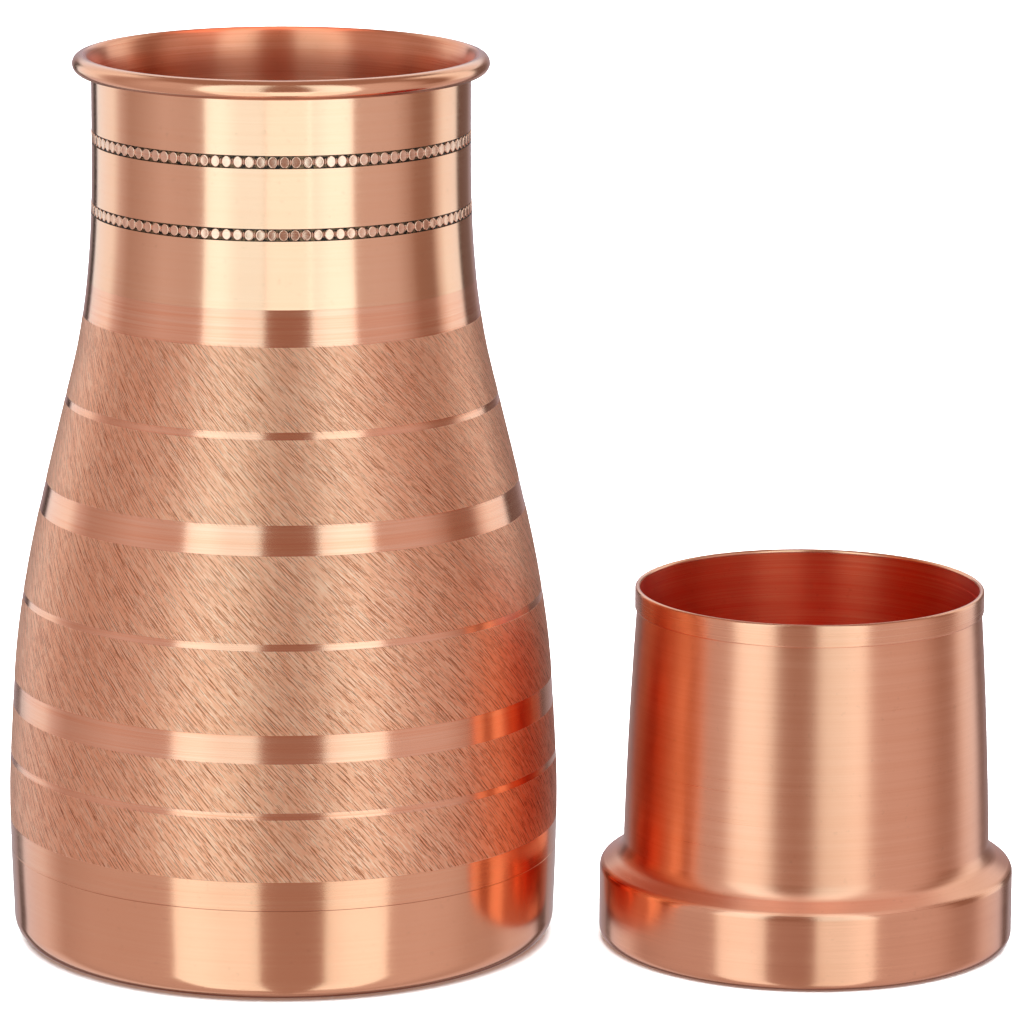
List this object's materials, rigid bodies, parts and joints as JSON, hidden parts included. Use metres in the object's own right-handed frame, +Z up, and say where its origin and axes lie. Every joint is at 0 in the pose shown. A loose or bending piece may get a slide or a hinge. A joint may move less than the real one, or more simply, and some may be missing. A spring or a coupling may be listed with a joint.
{
  "type": "copper water jug with stopper cup",
  "caption": "Spun copper bedside water jug with rolled lip, straight neck, wide belly and beaded bands, and a flared-foot drinking cup that turns over to close its neck.",
  "frame": {"origin": "centre of the jug's flat underside, on the table top the jug and the cup stand on", "axes": "+Z up along the jug's axis; +X from the jug towards the cup; -Y faces the viewer"},
  "size_m": [0.2192, 0.1198, 0.1938],
  "materials": {
    "copper_hatched": "copper, satin: turned rings and a fine slanted hatch on the belly, brushed neck, two blackened beaded bands",
    "copper_polished": "copper, polished with fine brush lines",
    "copper_brushed": "copper, fine circular brushing, lacquered",
    "copper_rim": "copper, polished edge",
    "copper_plain": "copper, plain turned",
    "rim_wire": "drawn copper wire",
    "tin_solder": "soft tin solder, dull"
  },
  "bodies": {
    "jug": {"jug_body": "copper_hatched", "jug_lip_wire": "rim_wire", "jug_base_pan": "copper_polished", "jug_seam_solder": "tin_solder"},
    "cup": {"cup_body": "copper_brushed", "cup_rim_band": "copper_rim", "cup_base_plate": "copper_plain", "cup_seam_solder": "tin_solder"}
  },
  "joints": [
    {"name": "cup_lift", "type": "slide", "parent": "jug", "child": "cup", "axis": [0, 0, 1], "range_m": [0, 0.25]}
  ]
}
